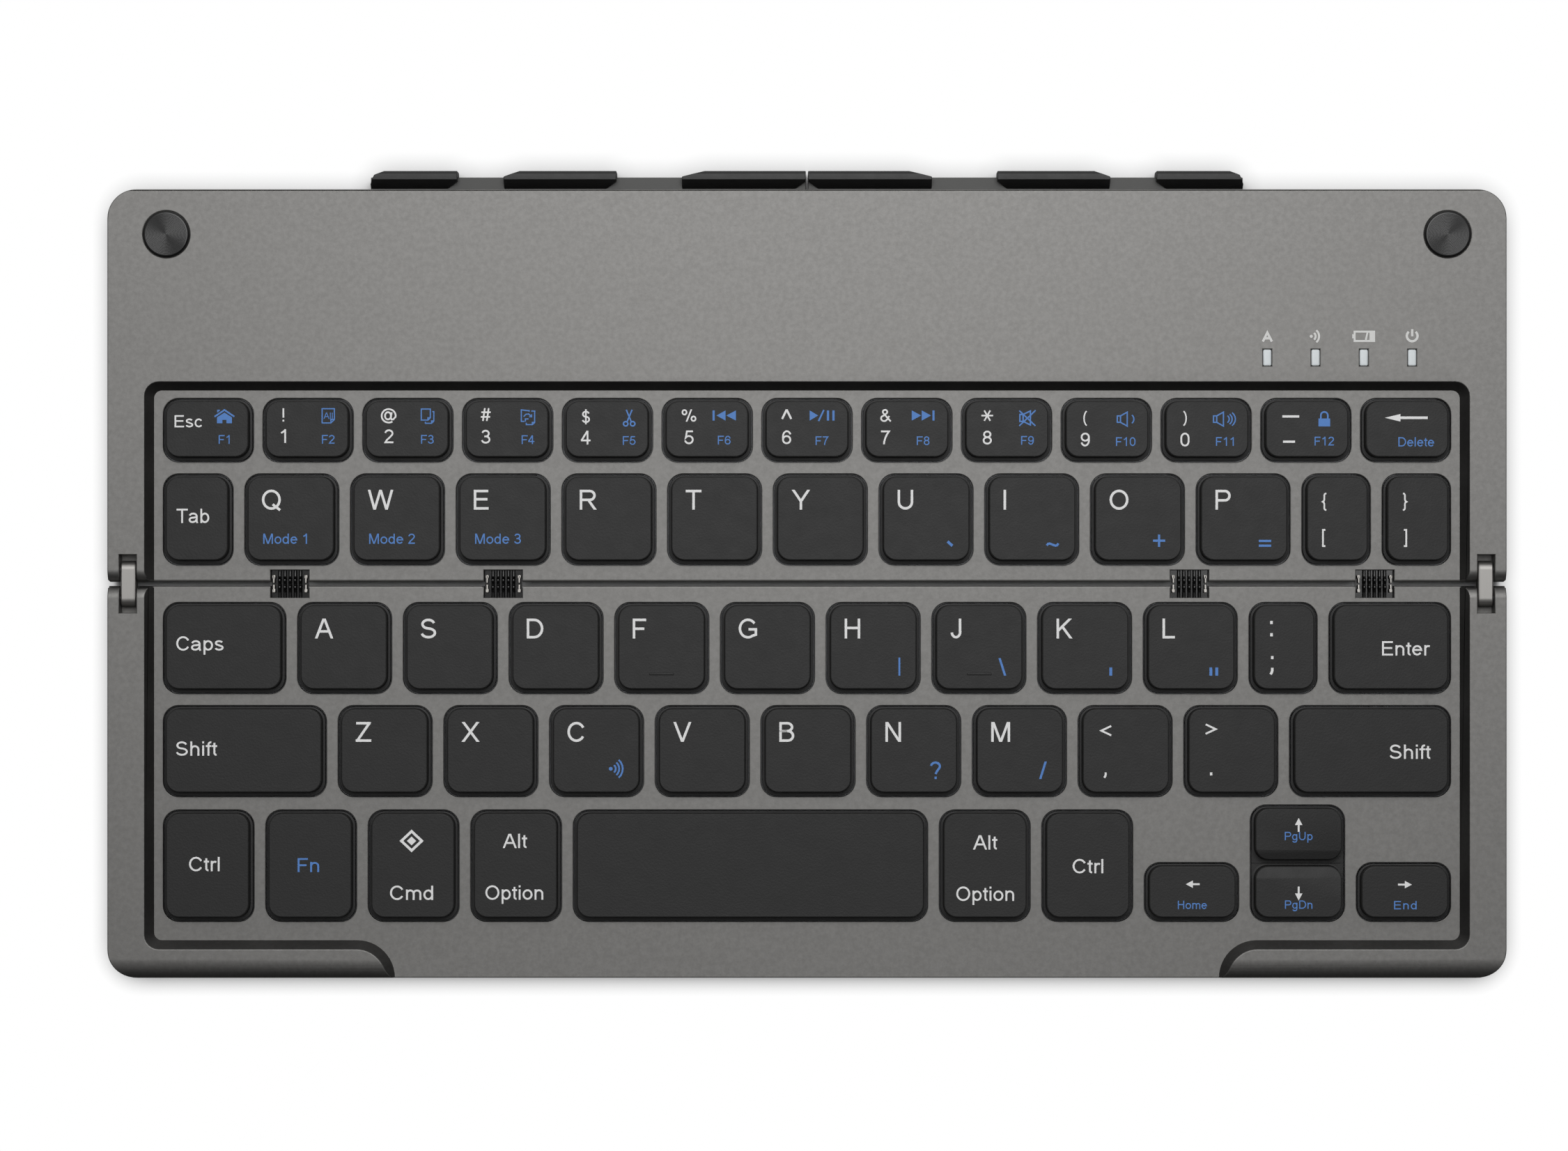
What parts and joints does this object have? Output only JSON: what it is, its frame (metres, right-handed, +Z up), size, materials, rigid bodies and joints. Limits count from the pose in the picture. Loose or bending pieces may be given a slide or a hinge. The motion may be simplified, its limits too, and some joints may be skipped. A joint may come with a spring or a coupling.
{
  "type": "folding keyboard",
  "caption": "Slim two-part folding keyboard with metal covers, black caps, double-pivot side links and two rear tilt legs.",
  "frame": {"origin": "centre of the bounding box on the desk, 1.65 mm behind the hinge line of the open keyboard", "axes": "+X to the typist's right, +Y away from the typist, +Z up from the desk"},
  "size_m": [0.2403, 0.1386, 0.0075],
  "materials": {
    "cover_metal": "bead-blasted and anodised space grey",
    "plate_steel": "bright rolled",
    "dome_rubber": "translucent silicone",
    "board": "green solder mask",
    "battery_wrap": "foil pouch",
    "port_steel": "stamped",
    "window_plastic": "frosted clear",
    "black_rubber": "matt",
    "screw_steel": "blackened",
    "link_metal": "satin",
    "ribbon_black": "matt insulation",
    "leg_plastic": "fine moulded texture",
    "key_plastic": "fine leather-like grain"
  },
  "bodies": {
    "upper_half": {"upper_top_cover": "cover_metal", "upper_bottom_cover": "cover_metal", "upper_key_plate": "plate_steel", "upper_domes": "dome_rubber", "main_board": "board", "battery": "battery_wrap", "charge_port": "port_steel", "indicator_windows": "window_plastic", "bumpers": "black_rubber", "upper_feet": "black_rubber", "upper_screws": "screw_steel", "upper_hinge_pins": "screw_steel", "hinge_ribbons": "ribbon_black"},
    "links": {"left_link": "link_metal", "right_link": "link_metal"},
    "lower_half": {"lower_top_cover": "cover_metal", "lower_bottom_cover": "cover_metal", "lower_key_plate": "plate_steel", "lower_domes": "dome_rubber", "lower_feet": "black_rubber", "lower_screws": "screw_steel", "lower_hinge_pins": "screw_steel"},
    "left_tilt_leg": {"left_leg": "leg_plastic", "left_leg_shoes": "black_rubber"},
    "right_tilt_leg": {"right_leg": "leg_plastic", "right_leg_shoes": "black_rubber"},
    "switch_knob": {"power_switch": "key_plastic"},
    "esc_key": {"esc_key": "key_plastic"},
    "keys_1_2_3": {"keys_1_2_3": "key_plastic"},
    "keys_4_5_6": {"keys_4_5_6": "key_plastic"},
    "keys_7_8_9": {"keys_7_8_9": "key_plastic"},
    "keys_0_dash": {"keys_0_dash": "key_plastic"},
    "delete_key": {"delete_key": "key_plastic"},
    "tab_key": {"tab_key": "key_plastic"},
    "keys_q_w_e": {"keys_q_w_e": "key_plastic"},
    "keys_r_t_y": {"keys_r_t_y": "key_plastic"},
    "keys_u_i_o": {"keys_u_i_o": "key_plastic"},
    "keys_p_brackets": {"keys_p_brackets": "key_plastic"},
    "caps_key": {"caps_key": "key_plastic"},
    "keys_a_s_d": {"keys_a_s_d": "key_plastic"},
    "keys_f_g_h": {"keys_f_g_h": "key_plastic"},
    "keys_j_k_l": {"keys_j_k_l": "key_plastic"},
    "colon_key": {"colon_key": "key_plastic"},
    "enter_key": {"enter_key": "key_plastic"},
    "left_shift_key": {"left_shift_key": "key_plastic"},
    "keys_z_x_c": {"keys_z_x_c": "key_plastic"},
    "keys_v_b_n": {"keys_v_b_n": "key_plastic"},
    "keys_m_comma_dot": {"keys_m_comma_dot": "key_plastic"},
    "right_shift_key": {"right_shift_key": "key_plastic"},
    "left_ctrl_key": {"left_ctrl_key": "key_plastic"},
    "fn_key": {"fn_key": "key_plastic"},
    "cmd_key": {"cmd_key": "key_plastic"},
    "left_alt_key": {"left_alt_key": "key_plastic"},
    "space_key": {"space_key": "key_plastic"},
    "right_alt_key": {"right_alt_key": "key_plastic"},
    "right_ctrl_key": {"right_ctrl_key": "key_plastic"},
    "left_arrow_key": {"left_arrow_key": "key_plastic"},
    "up_arrow_key": {"up_arrow_key": "key_plastic"},
    "down_arrow_key": {"down_arrow_key": "key_plastic"},
    "right_arrow_key": {"right_arrow_key": "key_plastic"}
  },
  "joints": [
    {"name": "fold_hinge", "type": "hinge", "parent": "links", "child": "lower_half", "pos_m": [0, -0.0041, 0.0049], "axis": [-1, 0, 0], "range_deg": [0, 90], "deforming": ["hinge_ribbons"]},
    {"name": "link_hinge", "type": "hinge", "parent": "upper_half", "child": "links", "pos_m": [0, 0.0008, 0.0049], "axis": [-1, 0, 0], "range_deg": [0, 90]},
    {"name": "left_leg_tilt", "type": "hinge", "parent": "upper_half", "child": "left_tilt_leg", "pos_m": [-0.04, 0.05405, 0.0021], "axis": [-1, 0, 0], "range_deg": [0, 80]},
    {"name": "right_leg_tilt", "type": "hinge", "parent": "upper_half", "child": "right_tilt_leg", "pos_m": [0.04, 0.05405, 0.0021], "axis": [-1, 0, 0], "range_deg": [0, 80]},
    {"name": "power_slide", "type": "slide", "parent": "upper_half", "child": "switch_knob", "axis": [0, 1, 0], "range_m": [0, 0.0022]},
    {"name": "esc_key_press", "type": "slide", "parent": "upper_half", "child": "esc_key", "axis": [0, 0, -1], "range_m": [0, 0.0015], "stiffness_N_per_m": 300, "springref_m": -0.0005, "deforming": ["upper_domes"]},
    {"name": "keys_1_2_3_press", "type": "slide", "parent": "upper_half", "child": "keys_1_2_3", "axis": [0, 0, -1], "range_m": [0, 0.0015], "stiffness_N_per_m": 900, "springref_m": -0.0005, "deforming": ["upper_domes"]},
    {"name": "keys_4_5_6_press", "type": "slide", "parent": "upper_half", "child": "keys_4_5_6", "axis": [0, 0, -1], "range_m": [0, 0.0015], "stiffness_N_per_m": 900, "springref_m": -0.0005, "deforming": ["upper_domes"]},
    {"name": "keys_7_8_9_press", "type": "slide", "parent": "upper_half", "child": "keys_7_8_9", "axis": [0, 0, -1], "range_m": [0, 0.0015], "stiffness_N_per_m": 900, "springref_m": -0.0005, "deforming": ["upper_domes"]},
    {"name": "keys_0_dash_press", "type": "slide", "parent": "upper_half", "child": "keys_0_dash", "axis": [0, 0, -1], "range_m": [0, 0.0015], "stiffness_N_per_m": 600, "springref_m": -0.0005, "deforming": ["upper_domes"]},
    {"name": "delete_key_press", "type": "slide", "parent": "upper_half", "child": "delete_key", "axis": [0, 0, -1], "range_m": [0, 0.0015], "stiffness_N_per_m": 300, "springref_m": -0.0005, "deforming": ["upper_domes"]},
    {"name": "tab_key_press", "type": "slide", "parent": "upper_half", "child": "tab_key", "axis": [0, 0, -1], "range_m": [0, 0.0015], "stiffness_N_per_m": 300, "springref_m": -0.0005, "deforming": ["upper_domes"]},
    {"name": "keys_q_w_e_press", "type": "slide", "parent": "upper_half", "child": "keys_q_w_e", "axis": [0, 0, -1], "range_m": [0, 0.0015], "stiffness_N_per_m": 900, "springref_m": -0.0005, "deforming": ["upper_domes"]},
    {"name": "keys_r_t_y_press", "type": "slide", "parent": "upper_half", "child": "keys_r_t_y", "axis": [0, 0, -1], "range_m": [0, 0.0015], "stiffness_N_per_m": 900, "springref_m": -0.0005, "deforming": ["upper_domes"]},
    {"name": "keys_u_i_o_press", "type": "slide", "parent": "upper_half", "child": "keys_u_i_o", "axis": [0, 0, -1], "range_m": [0, 0.0015], "stiffness_N_per_m": 900, "springref_m": -0.0005, "deforming": ["upper_domes"]},
    {"name": "keys_p_brackets_press", "type": "slide", "parent": "upper_half", "child": "keys_p_brackets", "axis": [0, 0, -1], "range_m": [0, 0.0015], "stiffness_N_per_m": 900, "springref_m": -0.0005, "deforming": ["upper_domes"]},
    {"name": "caps_key_press", "type": "slide", "parent": "lower_half", "child": "caps_key", "axis": [0, 0, -1], "range_m": [0, 0.0015], "stiffness_N_per_m": 300, "springref_m": -0.0005, "deforming": ["lower_domes"]},
    {"name": "keys_a_s_d_press", "type": "slide", "parent": "lower_half", "child": "keys_a_s_d", "axis": [0, 0, -1], "range_m": [0, 0.0015], "stiffness_N_per_m": 900, "springref_m": -0.0005, "deforming": ["lower_domes"]},
    {"name": "keys_f_g_h_press", "type": "slide", "parent": "lower_half", "child": "keys_f_g_h", "axis": [0, 0, -1], "range_m": [0, 0.0015], "stiffness_N_per_m": 900, "springref_m": -0.0005, "deforming": ["lower_domes"]},
    {"name": "keys_j_k_l_press", "type": "slide", "parent": "lower_half", "child": "keys_j_k_l", "axis": [0, 0, -1], "range_m": [0, 0.0015], "stiffness_N_per_m": 900, "springref_m": -0.0005, "deforming": ["lower_domes"]},
    {"name": "colon_key_press", "type": "slide", "parent": "lower_half", "child": "colon_key", "axis": [0, 0, -1], "range_m": [0, 0.0015], "stiffness_N_per_m": 300, "springref_m": -0.0005, "deforming": ["lower_domes"]},
    {"name": "enter_key_press", "type": "slide", "parent": "lower_half", "child": "enter_key", "axis": [0, 0, -1], "range_m": [0, 0.0015], "stiffness_N_per_m": 300, "springref_m": -0.0005, "deforming": ["lower_domes"]},
    {"name": "left_shift_key_press", "type": "slide", "parent": "lower_half", "child": "left_shift_key", "axis": [0, 0, -1], "range_m": [0, 0.0015], "stiffness_N_per_m": 300, "springref_m": -0.0005, "deforming": ["lower_domes"]},
    {"name": "keys_z_x_c_press", "type": "slide", "parent": "lower_half", "child": "keys_z_x_c", "axis": [0, 0, -1], "range_m": [0, 0.0015], "stiffness_N_per_m": 900, "springref_m": -0.0005, "deforming": ["lower_domes"]},
    {"name": "keys_v_b_n_press", "type": "slide", "parent": "lower_half", "child": "keys_v_b_n", "axis": [0, 0, -1], "range_m": [0, 0.0015], "stiffness_N_per_m": 900, "springref_m": -0.0005, "deforming": ["lower_domes"]},
    {"name": "keys_m_comma_dot_press", "type": "slide", "parent": "lower_half", "child": "keys_m_comma_dot", "axis": [0, 0, -1], "range_m": [0, 0.0015], "stiffness_N_per_m": 900, "springref_m": -0.0005, "deforming": ["lower_domes"]},
    {"name": "right_shift_key_press", "type": "slide", "parent": "lower_half", "child": "right_shift_key", "axis": [0, 0, -1], "range_m": [0, 0.0015], "stiffness_N_per_m": 300, "springref_m": -0.0005, "deforming": ["lower_domes"]},
    {"name": "left_ctrl_key_press", "type": "slide", "parent": "lower_half", "child": "left_ctrl_key", "axis": [0, 0, -1], "range_m": [0, 0.0015], "stiffness_N_per_m": 300, "springref_m": -0.0005, "deforming": ["lower_domes"]},
    {"name": "fn_key_press", "type": "slide", "parent": "lower_half", "child": "fn_key", "axis": [0, 0, -1], "range_m": [0, 0.0015], "stiffness_N_per_m": 300, "springref_m": -0.0005, "deforming": ["lower_domes"]},
    {"name": "cmd_key_press", "type": "slide", "parent": "lower_half", "child": "cmd_key", "axis": [0, 0, -1], "range_m": [0, 0.0015], "stiffness_N_per_m": 300, "springref_m": -0.0005, "deforming": ["lower_domes"]},
    {"name": "left_alt_key_press", "type": "slide", "parent": "lower_half", "child": "left_alt_key", "axis": [0, 0, -1], "range_m": [0, 0.0015], "stiffness_N_per_m": 300, "springref_m": -0.0005, "deforming": ["lower_domes"]},
    {"name": "space_key_press", "type": "slide", "parent": "lower_half", "child": "space_key", "axis": [0, 0, -1], "range_m": [0, 0.0015], "stiffness_N_per_m": 300, "springref_m": -0.0005, "deforming": ["lower_domes"]},
    {"name": "right_alt_key_press", "type": "slide", "parent": "lower_half", "child": "right_alt_key", "axis": [0, 0, -1], "range_m": [0, 0.0015], "stiffness_N_per_m": 300, "springref_m": -0.0005, "deforming": ["lower_domes"]},
    {"name": "right_ctrl_key_press", "type": "slide", "parent": "lower_half", "child": "right_ctrl_key", "axis": [0, 0, -1], "range_m": [0, 0.0015], "stiffness_N_per_m": 300, "springref_m": -0.0005, "deforming": ["lower_domes"]},
    {"name": "left_arrow_key_press", "type": "slide", "parent": "lower_half", "child": "left_arrow_key", "axis": [0, 0, -1], "range_m": [0, 0.0015], "stiffness_N_per_m": 300, "springref_m": -0.0005, "deforming": ["lower_domes"]},
    {"name": "up_arrow_key_press", "type": "slide", "parent": "lower_half", "child": "up_arrow_key", "axis": [0, 0, -1], "range_m": [0, 0.0015], "stiffness_N_per_m": 300, "springref_m": -0.0005, "deforming": ["lower_domes"]},
    {"name": "down_arrow_key_press", "type": "slide", "parent": "lower_half", "child": "down_arrow_key", "axis": [0, 0, -1], "range_m": [0, 0.0015], "stiffness_N_per_m": 300, "springref_m": -0.0005, "deforming": ["lower_domes"]},
    {"name": "right_arrow_key_press", "type": "slide", "parent": "lower_half", "child": "right_arrow_key", "axis": [0, 0, -1], "range_m": [0, 0.0015], "stiffness_N_per_m": 300, "springref_m": -0.0005, "deforming": ["lower_domes"]}
  ],
  "couplings": [
    {"joint": "link_hinge", "follows": "fold_hinge", "ratio": 1}
  ]
}
